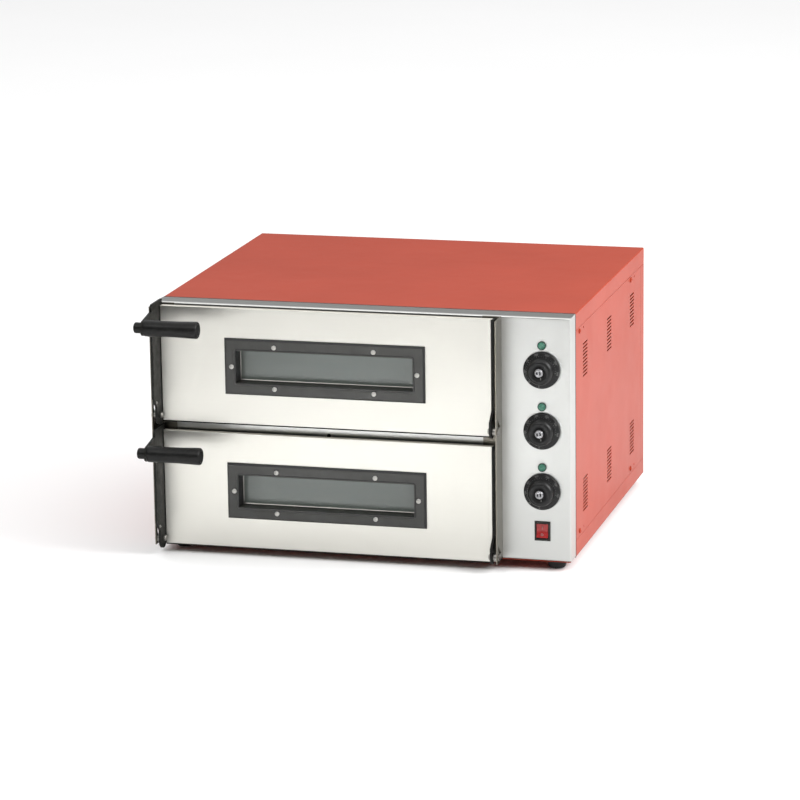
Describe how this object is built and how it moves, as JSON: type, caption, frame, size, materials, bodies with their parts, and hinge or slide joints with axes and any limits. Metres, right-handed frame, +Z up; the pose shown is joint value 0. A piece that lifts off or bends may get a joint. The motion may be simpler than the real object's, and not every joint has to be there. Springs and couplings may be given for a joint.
{
  "type": "countertop pizza oven",
  "caption": "Electric countertop oven with two stacked baking chambers, drop-down windowed doors with side grips, and a knob and switch panel on the right.",
  "frame": {"origin": "in the plane under the feet, below the middle of the oven's overall box", "axes": "+Z up, +Y from the doors to the rear, +X to the right as seen from the front"},
  "size_m": [0.5662, 0.5922, 0.344],
  "materials": {
    "red_paint": "smooth semi-gloss powder coat",
    "stainless": "satin, fine grain along the width",
    "door_steel": "satin, fine grain along the width",
    "black_steel": "black powder coat, fine texture",
    "bezel_black": "dark grey satin coat",
    "liner_steel": "aluminised sheet, dull",
    "firebrick": "unglazed cordierite",
    "heater_sheath": "oxidised dark",
    "mineral_wool": "loose fibre",
    "oven_glass": "clear, polished",
    "silicone": "matte",
    "grip_plastic": "moulded phenolic, semi-gloss",
    "knob_plastic": "moulded, semi-gloss",
    "spindle_metal": "turned",
    "green_lens": "translucent green",
    "switch_black": "moulded",
    "switch_red": "translucent red",
    "thermostat_case": "zinc plated",
    "screw_steel": "zinc plated",
    "pin_steel": "turned, bright",
    "foot_rubber": "matte",
    "gland_plastic": "moulded nylon",
    "terminal_plastic": "moulded"
  },
  "bodies": {
    "root": {"base_pan": "red_paint", "top_cover": "red_paint", "left_side_panel": "red_paint", "right_side_panel": "red_paint", "rear_panel": "red_paint", "front_fascia": "stainless", "left_hinge_plate": "stainless", "right_hinge_plate": "stainless", "hinge_pins": "pin_steel", "upper_insulation": "mineral_wool", "lower_insulation": "mineral_wool", "bay_divider": "liner_steel", "switch_housing": "switch_black", "cable_gland": "gland_plastic", "terminal_block": "terminal_plastic", "feet": "foot_rubber", "panel_screws": "screw_steel", "lower_chamber": "liner_steel", "lower_baking_stone": "firebrick", "lower_floor_element": "heater_sheath", "lower_roof_element": "heater_sheath", "upper_chamber": "liner_steel", "upper_baking_stone": "firebrick", "upper_floor_element": "heater_sheath", "upper_roof_element": "heater_sheath", "top_thermostat": "thermostat_case", "top_pilot_light": "green_lens", "middle_thermostat": "thermostat_case", "middle_pilot_light": "green_lens", "bottom_thermostat": "thermostat_case", "bottom_pilot_light": "green_lens"},
    "upper_door": {"upper_door_skin": "door_steel", "upper_door_frame": "black_steel", "upper_inner_pan": "liner_steel", "upper_window_frame": "bezel_black", "upper_window_glass": "oven_glass", "upper_window_seal": "silicone", "upper_window_screws": "screw_steel", "upper_grip": "grip_plastic", "upper_grip_bolt": "black_steel", "upper_left_arm": "black_steel", "upper_right_arm": "black_steel"},
    "lower_door": {"lower_door_skin": "door_steel", "lower_door_frame": "black_steel", "lower_inner_pan": "liner_steel", "lower_window_frame": "bezel_black", "lower_window_glass": "oven_glass", "lower_window_seal": "silicone", "lower_window_screws": "screw_steel", "lower_grip": "grip_plastic", "lower_grip_bolt": "black_steel", "lower_left_arm": "black_steel", "lower_right_arm": "black_steel"},
    "top_control": {"top_knob": "knob_plastic", "top_knob_spindle": "spindle_metal"},
    "middle_control": {"middle_knob": "knob_plastic", "middle_knob_spindle": "spindle_metal"},
    "bottom_control": {"bottom_knob": "knob_plastic", "bottom_knob_spindle": "spindle_metal"},
    "rocker": {"switch_rocker": "switch_red"}
  },
  "joints": [
    {"name": "upper_door_hinge", "type": "hinge", "parent": "root", "child": "upper_door", "pos_m": [-0.0445, -0.22985, 0.1905], "axis": [1, 0, 0], "range_deg": [0, 75]},
    {"name": "lower_door_hinge", "type": "hinge", "parent": "root", "child": "lower_door", "pos_m": [-0.0445, -0.22985, 0.0215], "axis": [1, 0, 0], "range_deg": [0, 68]},
    {"name": "top_knob_turn", "type": "hinge", "parent": "root", "child": "top_control", "pos_m": [0.2431, -0.21685, 0.2694], "axis": [0, 1, 0], "range_deg": [0, 270]},
    {"name": "middle_knob_turn", "type": "hinge", "parent": "root", "child": "middle_control", "pos_m": [0.2431, -0.21685, 0.18835], "axis": [0, 1, 0], "range_deg": [0, 270]},
    {"name": "bottom_knob_turn", "type": "hinge", "parent": "root", "child": "bottom_control", "pos_m": [0.2431, -0.21685, 0.1073], "axis": [0, 1, 0], "range_deg": [0, 270]},
    {"name": "rocker_tilt", "type": "hinge", "parent": "root", "child": "rocker", "pos_m": [0.2431, -0.20185, 0.054], "axis": [1, 0, 0], "range_deg": [0, 12]}
  ]
}
